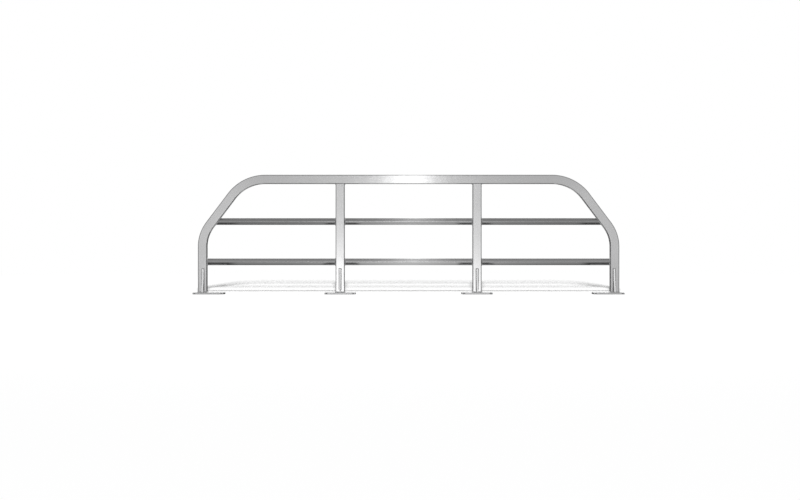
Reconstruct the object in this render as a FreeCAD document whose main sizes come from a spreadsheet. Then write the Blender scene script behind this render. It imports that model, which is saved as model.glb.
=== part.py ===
import FreeCAD, Part
import math
import os

import Sketcher

# A headache rack: one bent square-tube hoop, two inner uprights and six round rails, standing on
# four base plates with a gusset in front of each leg, all joined by fillet welds.
# Millimetres. +X runs across the rack, +Z is up and the gussets face -Y. The origin is on the
# underside of the base plates, midway between the legs, in the plane of the tubes.

DIMENSIONS = {
    "rack_width": 1778.0,        # over the outside of the legs
    "rack_height": 503.0,        # underside of the plates to the top of the hoop
    "tube_size": 38.1,           # square tube, over the flats
    "tube_wall": 2.1,
    "tube_corner": 3.5,          # outside corner radius of the square tube
    "knee_height": 200.0,        # where the legs start to bend inwards
    "lean_angle": 37.0,          # lean of the shoulders from the vertical, degrees
    "knee_bend": 152.4,          # centreline radius of the lower bends
    "shoulder_bend": 177.8,      # centreline radius of the upper bends
    "upright_spacing": 578.0,    # between the centres of the two uprights
    "rail_size": 28.6,           # outside diameter of the round rails
    "rail_wall": 2.1,
    "mid_rail_height": 306.0,
    "low_rail_height": 135.7,
    "plate_width": 130.0,
    "plate_depth": 130.0,
    "plate_thickness": 6.35,
    "plate_corner": 16.0,
    "plate_edge": 0.8,           # rounding of the plate's top edge
    "outer_plate_shift": 26.5,   # outer plates sit this far inboard of their legs
    "bolt_spacing": 95.0,
    "bolt_hole": 11.0,
    "gusset_thickness": 6.35,
    "gusset_height": 100.0,
    "gusset_reach": 38.0,
    "gusset_crest": 6.0,         # flat at the top of the gusset
    "gusset_lip": 6.0,           # upright face at the gusset's toe
    "gusset_hollow": 150.0,      # radius of the hollow front edge
    "gusset_snipe": 8.0,         # corner clipped clear of the weld at the foot of the tube
    "outer_gusset_shift": 3.0,   # outer gussets stand this far inboard of their legs' centres
    "plate_weld": 5.0,           # leg of the fillet welds at both ends of the standing tubes
    "gusset_weld": 3.5,          # leg of the fillet welds round the gussets
    "gusset_weld_round": 4.2,    # corner radius of the gusset welds' outline
    "rail_weld": 3.5,            # leg of the fillet welds round the rails
    "weld_slope": 40.0,          # slope of a weld's face from the surface it stands on, degrees
}

LEG = "(Dims.rack_width - Dims.tube_size) / 2"
UPRIGHT = "Dims.upright_spacing / 2"
HALF_TUBE = "Dims.tube_size / 2"
HOOP_UNDERSIDE = "Dims.rack_height - Dims.tube_size"
RAIL_RADIUS = "Dims.rail_size / 2"
LEAN_RISE = "(Dims.mid_rail_height - Dims.knee_height) * sin(Dims.lean_angle)"
LEAN_OFFSET = f"(Dims.knee_bend - {HALF_TUBE} - {LEAN_RISE}) / cos(Dims.lean_angle)"
LEAN_FACE = f"({LEG} - Dims.knee_bend + {LEAN_OFFSET})"
MID_SPAN = f"({LEAN_FACE} - {UPRIGHT} - {HALF_TUBE})"
LOW_SPAN = f"({LEG} - {UPRIGHT} - Dims.tube_size)"
CENTRE_SPAN = f"(2 * ({UPRIGHT}) - Dims.tube_size)"

ORIGIN = (-1, 1)
X_AXIS = -1
Y_AXIS = -2
START, END, CENTRE = 1, 2, 3

doc = FreeCAD.newDocument("headache_rack")
sheet = doc.addObject("Spreadsheet::Sheet", "Dims")


def fill_sheet():
    for row, (alias, value) in enumerate(DIMENSIONS.items(), start=1):
        sheet.set(f"A{row}", alias)
        sheet.set(f"B{row}", str(value))
        sheet.setAlias(f"B{row}", alias)
    doc.recompute()


def amount(expression):
    """The number that an expression over the sheet gives now."""
    return float(doc.getObject("Gauge").evalExpression(expression))


def point(x, y):
    return FreeCAD.Vector(x, y, 0)


# ---- bodies, sketches and features ----

def new_body(name):
    body = doc.addObject("PartDesign::Body", name)
    body.Label = name
    return body


def origin_feature(body, role):
    return next(feature for feature in body.Origin.OriginFeatures if feature.Role == role)


def new_sketch(body, name, role, **offsets):
    """A sketch on one of the body's origin planes, moved in that plane's own axes by expressions."""
    sketch = body.newObject("Sketcher::SketchObject", name)
    sketch.AttachmentSupport = [(origin_feature(body, role), "")]
    sketch.MapMode = "FlatFace"
    for axis, expression in offsets.items():
        sketch.setExpression(f"AttachmentOffset.Base.{axis}", expression)
    return sketch


def place(body, **offsets):
    for axis, expression in offsets.items():
        body.setExpression(f"Placement.Base.{axis}", expression)


def constrain(sketch, kind, *arguments):
    return sketch.addConstraint(Sketcher.Constraint(kind, *arguments))


def drive(sketch, name, expression, kind, *arguments):
    """A constraint whose value is bound to the sheet."""
    value = amount(expression)
    if kind == "Angle":
        value = math.radians(value)
        expression = f"({expression}) * 1 deg"
    index = constrain(sketch, kind, *arguments, value)
    sketch.renameConstraint(index, name)
    sketch.setExpression(f"Constraints.{name}", expression)


def add_line(sketch, start, end):
    return sketch.addGeometry(Part.LineSegment(start, end))


def add_arc(sketch, centre, radius, first, last):
    circle = Part.Circle(centre, FreeCAD.Vector(0, 0, 1), radius)
    return sketch.addGeometry(Part.ArcOfCircle(circle, math.radians(first), math.radians(last)))


def add_circle(sketch, name, diameter, x=0.0, y=0.0):
    circle = Part.Circle(point(x, y), FreeCAD.Vector(0, 0, 1), amount(diameter) / 2)
    index = sketch.addGeometry(circle)
    drive(sketch, name, diameter, "Diameter", index)
    return index


def join_ends(sketch, edges):
    for edge, following in zip(edges, edges[1:] + edges[:1]):
        constrain(sketch, "Coincident", edge, END, following, START)


def add_rounded_rectangle(sketch, name, width, height, radius):
    """A rectangle with round corners, centred on the sketch's origin."""
    half_width = amount(width) / 2
    half_height = amount(height) / 2
    corner = amount(radius)
    inner_x = half_width - corner
    inner_y = half_height - corner
    bottom = add_line(sketch, point(-inner_x, -half_height), point(inner_x, -half_height))
    turn_1 = add_arc(sketch, point(inner_x, -inner_y), corner, -90, 0)
    right = add_line(sketch, point(half_width, -inner_y), point(half_width, inner_y))
    turn_2 = add_arc(sketch, point(inner_x, inner_y), corner, 0, 90)
    top = add_line(sketch, point(inner_x, half_height), point(-inner_x, half_height))
    turn_3 = add_arc(sketch, point(-inner_x, inner_y), corner, 90, 180)
    left = add_line(sketch, point(-half_width, inner_y), point(-half_width, -inner_y))
    turn_4 = add_arc(sketch, point(-inner_x, -inner_y), corner, 180, 270)
    edges = [bottom, turn_1, right, turn_2, top, turn_3, left, turn_4]
    for edge, following in zip(edges, edges[1:] + edges[:1]):
        constrain(sketch, "Tangent", edge, END, following, START)
    constrain(sketch, "Horizontal", bottom)
    constrain(sketch, "Horizontal", top)
    constrain(sketch, "Vertical", left)
    constrain(sketch, "Vertical", right)
    for turn in (turn_2, turn_3, turn_4):
        constrain(sketch, "Equal", turn_1, turn)
    constrain(sketch, "Symmetric", turn_1, CENTRE, turn_3, CENTRE, *ORIGIN)
    drive(sketch, f"{name}_radius", radius, "Radius", turn_1)
    drive(sketch, f"{name}_width", width, "DistanceX", left, START, right, START)
    drive(sketch, f"{name}_height", height, "DistanceY", bottom, START, top, START)


def add_tube_section(sketch):
    add_rounded_rectangle(sketch, "outside", "Dims.tube_size", "Dims.tube_size", "Dims.tube_corner")
    bore = "Dims.tube_size - 2 * Dims.tube_wall"
    add_rounded_rectangle(sketch, "bore", bore, bore, "Dims.tube_corner - Dims.tube_wall")


def add_pad(body, name, sketch, length, midplane=False, reverse=False, taper=None):
    pad = body.newObject("PartDesign::Pad", name)
    pad.Profile = sketch
    pad.Reversed = reverse
    pad.setExpression("Length", length)
    if midplane:
        pad.SideType = "Symmetric"
    if taper:
        pad.setExpression("TaperAngle", taper)
    doc.recompute()
    return pad


def add_pocket(body, name, sketch, reverse=False):
    """A cut through everything on both sides of the sketch, which must remove material."""
    before = body.Shape.Volume
    pocket = body.newObject("PartDesign::Pocket", name)
    pocket.Profile = sketch
    pocket.Type = "ThroughAll"
    pocket.SideType = "Symmetric"
    pocket.Reversed = reverse
    doc.recompute()
    if not body.Shape.Volume < before - 1:
        raise RuntimeError(f"{name} removed nothing")
    return pocket


# ---- tubes ----

def draw_hoop_path(sketch):
    """Half of the hoop's centreline: leg, knee, leaning shoulder, upper bend and top."""
    leg_x = amount(LEG)
    foot = amount("Dims.plate_thickness")
    knee = amount("Dims.knee_height")
    knee_bend = amount("Dims.knee_bend")
    shoulder_bend = amount("Dims.shoulder_bend")
    lean = math.radians(amount("Dims.lean_angle"))
    top = amount(f"Dims.rack_height - {HALF_TUBE}")

    knee_centre = point(leg_x - knee_bend, knee)
    outward = point(math.cos(lean), math.sin(lean))
    along = point(-math.sin(lean), math.cos(lean))
    lean_start = knee_centre + outward * knee_bend
    bend_start_y = top - shoulder_bend * (1 - math.sin(lean))
    lean_end = lean_start + along * ((bend_start_y - lean_start.y) / math.cos(lean))
    shoulder_centre = lean_end - outward * shoulder_bend

    leg = add_line(sketch, point(leg_x, foot), point(leg_x, knee))
    lower = add_arc(sketch, knee_centre, knee_bend, 0, math.degrees(lean))
    slope = add_line(sketch, lean_start, lean_end)
    upper = add_arc(sketch, shoulder_centre, shoulder_bend, math.degrees(lean), 90)
    crown = add_line(sketch, point(shoulder_centre.x, top), point(0, top))

    for edge, following in ((leg, lower), (lower, slope), (slope, upper), (upper, crown)):
        constrain(sketch, "Tangent", edge, END, following, START)
    constrain(sketch, "Vertical", leg)
    constrain(sketch, "Horizontal", crown)
    constrain(sketch, "PointOnObject", crown, END, Y_AXIS)
    drive(sketch, "leg", LEG, "DistanceX", *ORIGIN, leg, START)
    drive(sketch, "foot", "Dims.plate_thickness", "DistanceY", *ORIGIN, leg, START)
    drive(sketch, "knee", "Dims.knee_height", "DistanceY", *ORIGIN, leg, END)
    drive(sketch, "top", f"Dims.rack_height - {HALF_TUBE}", "DistanceY", *ORIGIN, crown, END)
    drive(sketch, "knee_bend", "Dims.knee_bend", "Radius", lower)
    drive(sketch, "shoulder_bend", "Dims.shoulder_bend", "Radius", upper)
    drive(sketch, "lean", "Dims.lean_angle", "Angle", lower)


def build_hoop():
    body = new_body("hoop")
    path = new_sketch(body, "hoop_path", "XZ_Plane")
    draw_hoop_path(path)
    section = new_sketch(body, "hoop_section", "XY_Plane", x=LEG, z="Dims.plate_thickness")
    add_tube_section(section)
    doc.recompute()
    half = body.newObject("PartDesign::AdditivePipe", "hoop_half")
    half.Profile = section
    half.Spine = path
    half.Mode = "Standard"
    doc.recompute()
    whole = body.newObject("PartDesign::Mirrored", "hoop_mirror")
    whole.Originals = [half]
    whole.MirrorPlane = (origin_feature(body, "YZ_Plane"), [""])
    whole.Refine = True
    body.Tip = whole
    return body


def build_upright(name, side):
    """A square tube from the top of its base plate to the underside of the hoop."""
    body = new_body(name)
    section = new_sketch(body, f"{name}_section", "XY_Plane")
    add_tube_section(section)
    add_pad(body, f"{name}_length", section, f"{HOOP_UNDERSIDE} - Dims.plate_thickness")
    place(body, x=f"{side} * {UPRIGHT}", z="Dims.plate_thickness")
    return body


def build_rail(name, span, height, start, turned=False, mitred=False):
    """A round tube along X from its start. A turned rail runs towards -X."""
    body = new_body(name)
    section = new_sketch(body, f"{name}_section", "YZ_Plane")
    bore = "Dims.rail_size - 2 * Dims.rail_wall"
    for edge, diameter in (("outside", "Dims.rail_size"), ("bore", bore)):
        circle = add_circle(section, edge, diameter)
        constrain(section, "Coincident", circle, CENTRE, *ORIGIN)
    overrun = f" + {RAIL_RADIUS} * tan(Dims.lean_angle)" if mitred else ""
    add_pad(body, f"{name}_length", section, span + overrun)
    if mitred:
        cutter = new_sketch(body, f"{name}_mitre", "XZ_Plane")
        draw_mitre(cutter, span)
        add_pocket(body, f"{name}_mitre_cut", cutter)
    place(body, x=start, z=height)
    if turned:
        body.setExpression("Placement.Rotation.Angle", "180 deg")
    return body


def draw_mitre(sketch, span):
    """The triangle beyond the leaning inner face of the hoop, taller than the rail."""
    reach = f"({span} + Dims.rail_size * tan(Dims.lean_angle))"
    far = amount(reach)
    size = amount("Dims.rail_size")
    near = far - 2 * size * math.tan(math.radians(amount("Dims.lean_angle")))
    slope = add_line(sketch, point(near, size), point(far, -size))
    side = add_line(sketch, point(far, -size), point(far, size))
    top = add_line(sketch, point(far, size), point(near, size))
    join_ends(sketch, [slope, side, top])
    constrain(sketch, "Vertical", side)
    constrain(sketch, "Horizontal", top)
    drive(sketch, "reach", reach, "DistanceX", *ORIGIN, side, START)
    drive(sketch, "below", "Dims.rail_size", "DistanceY", side, START, *ORIGIN)
    drive(sketch, "above", "Dims.rail_size", "DistanceY", *ORIGIN, side, END)
    drive(sketch, "lean", "Dims.lean_angle", "Angle", side, START, slope, END)


# ---- plates and gussets ----

def build_plate(name, centre):
    """A base plate with rounded corners and a bolt hole near each of them."""
    body = new_body(name)
    outline = new_sketch(body, f"{name}_outline", "XY_Plane")
    add_rounded_rectangle(outline, "plate", "Dims.plate_width", "Dims.plate_depth", "Dims.plate_corner")
    add_pad(body, f"{name}_slab", outline, "Dims.plate_thickness")
    holes = new_sketch(body, f"{name}_holes", "XY_Plane")
    draw_bolt_holes(holes)
    drilled = add_pocket(body, f"{name}_drilled", holes)
    eased = body.newObject("PartDesign::Fillet", f"{name}_eased")
    eased.Base = (drilled, top_rim(drilled.Shape))
    eased.setExpression("Radius", "Dims.plate_edge")
    doc.recompute()
    place(body, x=centre)
    return body


def draw_bolt_holes(sketch):
    half = amount("Dims.bolt_spacing / 2")
    for number, (right, back) in enumerate(((1, 1), (-1, 1), (-1, -1), (1, -1)), start=1):
        hole = add_circle(sketch, f"hole_{number}", "Dims.bolt_hole", right * half, back * half)
        across = (*ORIGIN, hole, CENTRE) if right > 0 else (hole, CENTRE, *ORIGIN)
        along = (*ORIGIN, hole, CENTRE) if back > 0 else (hole, CENTRE, *ORIGIN)
        drive(sketch, f"across_{number}", "Dims.bolt_spacing / 2", "DistanceX", *across)
        drive(sketch, f"along_{number}", "Dims.bolt_spacing / 2", "DistanceY", *along)


def top_rim(shape):
    """Names of the edges round the outside of the top face, without the holes."""
    top = shape.BoundBox.ZMax
    names = []
    for number, edge in enumerate(shape.Edges, start=1):
        box = edge.BoundBox
        if box.ZMin > top - 0.01 and not edge.isClosed():
            names.append(f"Edge{number}")
    return names


def build_gusset(name, centre):
    """An upright plate in front of a leg, standing on the base plate."""
    body = new_body(name)
    outline = new_sketch(body, f"{name}_outline", "YZ_Plane")
    draw_gusset(outline)
    add_pad(body, f"{name}_slab", outline, "Dims.gusset_thickness", midplane=True)
    place(body, x=centre, y=f"-({HALF_TUBE})", z="Dims.plate_thickness")
    return body


def draw_gusset(sketch):
    """The gusset's outline, forward of the tube's face and above the base plate."""
    reach = amount("Dims.gusset_reach")
    height = amount("Dims.gusset_height")
    crest = amount("Dims.gusset_crest")
    lip = amount("Dims.gusset_lip")
    snipe = amount("Dims.gusset_snipe")
    toe = point(-reach, lip)
    crown = point(-crest, height)
    centre = hollow_centre(toe, crown, amount("Dims.gusset_hollow"))

    foot = add_line(sketch, point(-snipe, 0), point(-reach, 0))
    lip_edge = add_line(sketch, point(-reach, 0), toe)
    crest_edge = add_line(sketch, crown, point(0, height))
    back = add_line(sketch, point(0, height), point(0, snipe))
    corner = add_line(sketch, point(0, snipe), point(-snipe, 0))
    first = math.degrees(math.atan2(toe.y - centre.y, toe.x - centre.x))
    last = math.degrees(math.atan2(crown.y - centre.y, crown.x - centre.x))
    hollow = add_arc(sketch, centre, amount("Dims.gusset_hollow"), first, last)

    for edge, edge_end, following, start in (
        (foot, END, lip_edge, START),
        (lip_edge, END, hollow, START),
        (hollow, END, crest_edge, START),
        (crest_edge, END, back, START),
        (back, END, corner, START),
        (corner, END, foot, START),
    ):
        constrain(sketch, "Coincident", edge, edge_end, following, start)
    constrain(sketch, "PointOnObject", foot, START, X_AXIS)
    constrain(sketch, "PointOnObject", foot, END, X_AXIS)
    constrain(sketch, "PointOnObject", back, START, Y_AXIS)
    constrain(sketch, "PointOnObject", back, END, Y_AXIS)
    constrain(sketch, "Vertical", lip_edge)
    constrain(sketch, "Horizontal", crest_edge)
    drive(sketch, "reach", "Dims.gusset_reach", "DistanceX", foot, END, *ORIGIN)
    drive(sketch, "lip", "Dims.gusset_lip", "DistanceY", lip_edge, START, lip_edge, END)
    drive(sketch, "crest", "Dims.gusset_crest", "DistanceX", crest_edge, START, crest_edge, END)
    drive(sketch, "tall", "Dims.gusset_height", "DistanceY", *ORIGIN, back, START)
    drive(sketch, "snipe_up", "Dims.gusset_snipe", "DistanceY", *ORIGIN, back, END)
    drive(sketch, "snipe_out", "Dims.gusset_snipe", "DistanceX", foot, START, *ORIGIN)
    drive(sketch, "hollow", "Dims.gusset_hollow", "Radius", hollow)


def hollow_centre(toe, crown, radius):
    """Centre, on the open side, of the arc that runs from the toe to the crown."""
    chord = crown - toe
    middle = (toe + crown) * 0.5
    away = point(-chord.y, chord.x).normalize()
    return middle + away * math.sqrt(radius ** 2 - (chord.Length / 2) ** 2)


# ---- fillet welds ----

def build_foot_weld(name, centre):
    """The bead round the foot of a square tube."""
    body = new_body(name)
    spread = "(Dims.tube_size + 2 * Dims.plate_weld)"
    base = new_sketch(body, f"{name}_base", "XY_Plane")
    add_rounded_rectangle(base, "bead", spread, spread, "Dims.tube_corner + Dims.plate_weld")
    add_pad(body, f"{name}_bead", base, "Dims.plate_weld", taper="-Dims.weld_slope")
    tube = new_sketch(body, f"{name}_tube", "XY_Plane")
    add_rounded_rectangle(tube, "tube", "Dims.tube_size", "Dims.tube_size", "Dims.tube_corner")
    add_pocket(body, f"{name}_gap", tube)
    place(body, x=centre, z="Dims.plate_thickness")
    return body


def build_gusset_weld(name, centre, on_plate):
    """The bead round a gusset, on the base plate or up the tube's face.

    It starts at the clipped corner and wraps round the gusset's far end.
    """
    length = "Dims.gusset_reach" if on_plate else "Dims.gusset_height"
    role = "XY_Plane" if on_plate else "XZ_Plane"
    run = f"({length} - Dims.gusset_snipe + Dims.gusset_weld)"
    middle = f"(Dims.gusset_snipe + {run} / 2)"
    across = "(Dims.gusset_thickness + 2 * Dims.gusset_weld)"
    outward = f"-{middle}" if on_plate else middle

    body = new_body(name)
    base = new_sketch(body, f"{name}_base", role, y=outward)
    add_rounded_rectangle(base, "bead", across, run, "Dims.gusset_weld_round")
    add_pad(body, f"{name}_bead", base, "Dims.gusset_weld", taper="-Dims.weld_slope")
    slot = new_sketch(body, f"{name}_slot", role)
    draw_slot(slot, length, -1 if on_plate else 1)
    add_pocket(body, f"{name}_gap", slot)
    place(body, x=centre, y=f"-({HALF_TUBE})", z="Dims.plate_thickness")
    return body


def draw_slot(sketch, length, direction):
    """The gusset's own footprint, from the corner of tube and plate to its far end."""
    half = amount("Dims.gusset_thickness / 2")
    far = direction * amount(length)
    near_edge = add_line(sketch, point(-half, 0), point(half, 0))
    right = add_line(sketch, point(half, 0), point(half, far))
    far_edge = add_line(sketch, point(half, far), point(-half, far))
    left = add_line(sketch, point(-half, far), point(-half, 0))
    join_ends(sketch, [near_edge, right, far_edge, left])
    constrain(sketch, "Horizontal", far_edge)
    constrain(sketch, "Vertical", right)
    constrain(sketch, "Vertical", left)
    constrain(sketch, "Symmetric", near_edge, START, near_edge, END, *ORIGIN)
    constrain(sketch, "PointOnObject", near_edge, START, X_AXIS)
    drive(sketch, "thick", "Dims.gusset_thickness", "DistanceX", near_edge, START, near_edge, END)
    ends = (*ORIGIN, right, END) if direction > 0 else (right, END, *ORIGIN)
    drive(sketch, "far", length, "DistanceY", *ends)


def build_rail_weld(name, position, height, facing):
    """The bead round a square-cut rail end. It narrows towards the side it faces."""
    body = new_body(name)
    section = new_sketch(body, f"{name}_section", "XZ_Plane")
    radius = amount(RAIL_RADIUS)
    leg = amount("Dims.rail_weld")
    wall = add_line(section, point(0, radius + leg), point(0, radius))
    rail = add_line(section, point(0, radius), point(leg, radius))
    face = add_line(section, point(leg, radius), point(0, radius + leg))
    join_ends(section, [wall, rail, face])
    constrain(section, "Horizontal", rail)
    constrain(section, "PointOnObject", wall, START, Y_AXIS)
    constrain(section, "PointOnObject", wall, END, Y_AXIS)
    drive(section, "radius", RAIL_RADIUS, "DistanceY", *ORIGIN, rail, START)
    drive(section, "along", "Dims.rail_weld", "DistanceX", rail, START, rail, END)
    drive(section, "up", "Dims.rail_weld", "DistanceY", wall, END, wall, START)
    ring = body.newObject("PartDesign::Revolution", f"{name}_ring")
    ring.Profile = section
    ring.ReferenceAxis = (origin_feature(body, "X_Axis"), [""])
    ring.Angle = 360
    doc.recompute()
    place(body, x=position, z=height)
    if facing < 0:
        body.setExpression("Placement.Rotation.Angle", "180 deg")
    return body


def build_mitre_weld(name, side):
    """The bead where a mid rail meets the leaning face: a square-cut bead sheared to the lean."""
    radius = amount(RAIL_RADIUS)
    leg = amount("Dims.rail_weld")
    corners = [(0, 0, radius), (0, 0, radius + leg), (-leg, 0, radius), (0, 0, radius)]
    section = Part.Face(Part.makePolygon([FreeCAD.Vector(*corner) for corner in corners]))
    ring = section.revolve(FreeCAD.Vector(0, 0, 0), FreeCAD.Vector(1, 0, 0), 360)
    shear = FreeCAD.Matrix()
    shear.A13 = -side * math.tan(math.radians(amount("Dims.lean_angle")))
    if side < 0:
        ring = ring.mirror(FreeCAD.Vector(0, 0, 0), FreeCAD.Vector(1, 0, 0))
    bead = doc.addObject("Part::Feature", name)
    bead.Shape = ring.transformGeometry(shear)
    bead.Placement.Base = FreeCAD.Vector(side * amount(LEAN_FACE), 0, amount("Dims.mid_rail_height"))
    return bead


def build_top_weld(name, side, outboard):
    """The straight bead between one side of an upright and the underside of the hoop."""
    body = new_body(name)
    section = new_sketch(body, f"{name}_section", "XZ_Plane")
    leg = amount("Dims.plate_weld")
    under = add_line(section, point(0, 0), point(outboard * leg, 0))
    face = add_line(section, point(outboard * leg, 0), point(0, -leg))
    wall = add_line(section, point(0, -leg), point(0, 0))
    join_ends(section, [under, face, wall])
    constrain(section, "Coincident", under, START, *ORIGIN)
    constrain(section, "Horizontal", under)
    constrain(section, "Vertical", wall)
    ends = (under, START, under, END) if outboard > 0 else (under, END, under, START)
    drive(section, "across", "Dims.plate_weld", "DistanceX", *ends)
    drive(section, "down", "Dims.plate_weld", "DistanceY", wall, START, wall, END)
    add_pad(body, f"{name}_bead", section, "Dims.tube_size - 2 * Dims.tube_corner", midplane=True)
    place(body, x=f"{side} * {UPRIGHT} + {outboard} * {HALF_TUBE}", z=HOOP_UNDERSIDE)
    return body


def group(name, members):
    compound = doc.addObject("Part::Compound", name)
    compound.Label = name
    compound.Links = members
    return compound


# ---- the whole rack ----

def leg_places():
    """Each standing tube's name and the X of the tube, its base plate and its gusset."""
    plate = f"({LEG} - Dims.outer_plate_shift)"
    gusset = f"({LEG} - Dims.outer_gusset_shift)"
    return (
        ("left_leg", f"-{LEG}", f"-{plate}", f"-{gusset}"),
        ("left_upright", f"-{UPRIGHT}", f"-{UPRIGHT}", f"-{UPRIGHT}"),
        ("right_upright", UPRIGHT, UPRIGHT, UPRIGHT),
        ("right_leg", LEG, plate, gusset),
    )


def build_rails():
    outboard = f"({UPRIGHT} + {HALF_TUBE})"
    parts = []
    for level, height, span in (
        ("mid_rail", "Dims.mid_rail_height", MID_SPAN),
        ("low_rail", "Dims.low_rail_height", LOW_SPAN),
    ):
        mitred = level == "mid_rail"
        parts.append(build_rail(f"{level}_left", span, height, f"-{outboard}", True, mitred))
        parts.append(build_rail(f"{level}_centre", CENTRE_SPAN, height, f"-{CENTRE_SPAN} / 2"))
        parts.append(build_rail(f"{level}_right", span, height, outboard, False, mitred))
    return parts


def build_rail_welds():
    inner = f"({UPRIGHT} - {HALF_TUBE})"
    outer = f"({UPRIGHT} + {HALF_TUBE})"
    leg_face = f"({LEG} - {HALF_TUBE})"
    beads = []
    for level in ("mid", "low"):
        height = f"Dims.{level}_rail_height"
        for side in (-1, 1):
            tag = f"{level}_{'left' if side < 0 else 'right'}"
            beads.append(build_rail_weld(f"bead_{tag}_inner", f"{side} * {inner}", height, -side))
            beads.append(build_rail_weld(f"bead_{tag}_outer", f"{side} * {outer}", height, side))
            if level == "low":
                beads.append(build_rail_weld(f"bead_{tag}_leg", f"{side} * {leg_face}", height, -side))
            else:
                beads.append(build_mitre_weld(f"bead_{tag}_leg", side))
    return group("rail_welds", beads)


def build_foot_welds():
    beads = [build_foot_weld(f"bead_{name}_foot", tube) for name, tube, _, _ in leg_places()]
    return group("foot_welds", beads)


def build_gusset_welds():
    beads = []
    for name, _, _, gusset in leg_places():
        beads.append(build_gusset_weld(f"bead_{name}_plate", gusset, on_plate=True))
        beads.append(build_gusset_weld(f"bead_{name}_face", gusset, on_plate=False))
    return group("gusset_welds", beads)


def build_top_welds():
    beads = []
    for side, hand in ((-1, "left"), (1, "right")):
        for outboard, end in ((-1, "a"), (1, "b")):
            beads.append(build_top_weld(f"bead_top_{hand}_{end}", side, outboard))
    return group("upright_top_welds", beads)


def build_rack():
    parts = [build_hoop()]
    parts.append(build_upright("upright_left", -1))
    parts.append(build_upright("upright_right", 1))
    parts += build_rails()
    parts += [build_plate(f"base_plate_{name}", plate) for name, _, plate, _ in leg_places()]
    parts += [build_gusset(f"gusset_{name}", gusset) for name, _, _, gusset in leg_places()]
    parts += [build_foot_welds(), build_gusset_welds(), build_rail_welds(), build_top_welds()]
    return parts


def check(parts):
    for item in doc.Objects:
        if "Invalid" in item.State or "Error" in item.State:
            raise RuntimeError(f"{item.Name} failed: {item.State}")
    for part in parts:
        shape = part.Shape
        if shape.isNull() or not shape.isValid() or not shape.Solids:
            raise RuntimeError(f"{part.Label} has no valid solid")


def describe(part):
    """One line with the part's solids, volume and extent."""
    box = part.Shape.optimalBoundingBox()
    spans = ((box.XMin, box.XMax), (box.YMin, box.YMax), (box.ZMin, box.ZMax))
    extent = ", ".join(f"{axis} {low:.2f} to {high:.2f}" for axis, (low, high) in zip("XYZ", spans))
    return f"{part.Label}: {len(part.Shape.Solids)} solid(s), {part.Shape.Volume / 1000:.2f} cm3, {extent}"


def write(parts):
    os.makedirs("parts", exist_ok=True)
    for part in parts:
        part.Shape.exportStep(f"parts/{part.Label}.step")
        print(describe(part))


doc.addObject("App::FeaturePython", "Gauge")
fill_sheet()
rack = build_rack()
doc.recompute()
check(rack)
write(rack)
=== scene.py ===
import math
import random

import bmesh
import bpy
import numpy as np
from mathutils import Matrix, Vector, noise


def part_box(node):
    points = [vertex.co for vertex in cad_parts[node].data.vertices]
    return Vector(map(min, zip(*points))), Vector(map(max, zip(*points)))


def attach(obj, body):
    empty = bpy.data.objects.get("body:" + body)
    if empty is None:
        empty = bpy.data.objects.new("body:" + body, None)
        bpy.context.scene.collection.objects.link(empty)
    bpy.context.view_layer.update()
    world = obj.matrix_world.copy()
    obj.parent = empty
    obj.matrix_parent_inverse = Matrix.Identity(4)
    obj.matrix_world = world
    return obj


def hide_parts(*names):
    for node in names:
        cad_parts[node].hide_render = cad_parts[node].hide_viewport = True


# Looks for a polished headache rack: a bent square-tube hoop with two uprights and six round
# rails, on four gusseted base plates. Metres, in the CAD frame.

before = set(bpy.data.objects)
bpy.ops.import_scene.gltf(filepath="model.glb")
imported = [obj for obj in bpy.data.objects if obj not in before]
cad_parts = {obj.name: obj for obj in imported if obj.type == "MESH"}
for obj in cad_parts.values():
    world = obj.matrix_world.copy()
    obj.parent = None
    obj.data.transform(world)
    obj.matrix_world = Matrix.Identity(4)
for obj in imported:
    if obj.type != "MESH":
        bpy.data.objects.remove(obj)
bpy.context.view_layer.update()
random.seed(11)

MM = 0.001
PI = math.pi

LEGS = ("left_leg", "left_upright", "right_upright", "right_leg")

# Shape facts the CAD boxes don't hold.
TUBE_WALL = 2.1 * MM
TUBE_CORNER = 3.5 * MM
KNEE_HEIGHT = 200 * MM
LEAN = math.radians(37)
KNEE_BEND = 152.4 * MM
SHOULDER_BEND = 177.8 * MM
RAIL_WALL = 2.1 * MM
PLATE_CORNER = 16 * MM
BOLT_SPACING = 95 * MM
BOLT_HOLE = 11 * MM
GUSSET_CREST = 6 * MM
GUSSET_LIP = 6 * MM
GUSSET_HOLLOW = 150 * MM
GUSSET_SNIPE = 8 * MM
EDGE = 0.6 * MM
FOOT_WELD = 4.4 * MM
GUSSET_WELD = 2.9 * MM
RAIL_WELD = 3.3 * MM
TOP_WELD = 3.6 * MM

# The steel's blue against its red and green.
STEEL_BLUE = 1.006

# How finely the curved and the long parts are divided.
LEG_STEPS = 8
KNEE_STEPS = 24
LEAN_STEPS = 5
SHOULDER_STEPS = 32
TOP_STEPS = 12
UPRIGHT_STEPS = 16
RAIL_STEPS = 12
BEAD_STOPS = 60
HOLLOW_STEPS = 32
HOLE_STEPS = 40

# The studio: light levels, with 1 as white, and places in metres.
CAMERA_PLACE = (-0.0363, -8.5, 0.1857)
CAMERA_LENS = 90.5
KEY = 47.5
KEY_PLACE = Vector((-0.0363, -8.6, 1.79))
KEY_AIM = Vector((0, 0, 0.1))
KEY_SIZE = (0.2, 0.7)
KEY_REACH = 9.5
SKY = 0.42
FLOOR_HALF = 60.0
FLOOR_DROP = 0.5 * MM
FLOOR_FADE = (3.5, 7.5)
FEET_SHADE = 0.12
FLAG_START, FLAG_END, FLAG_TOP = 3.0, 9.9, 0.47


# ---- node graphs ----

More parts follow.
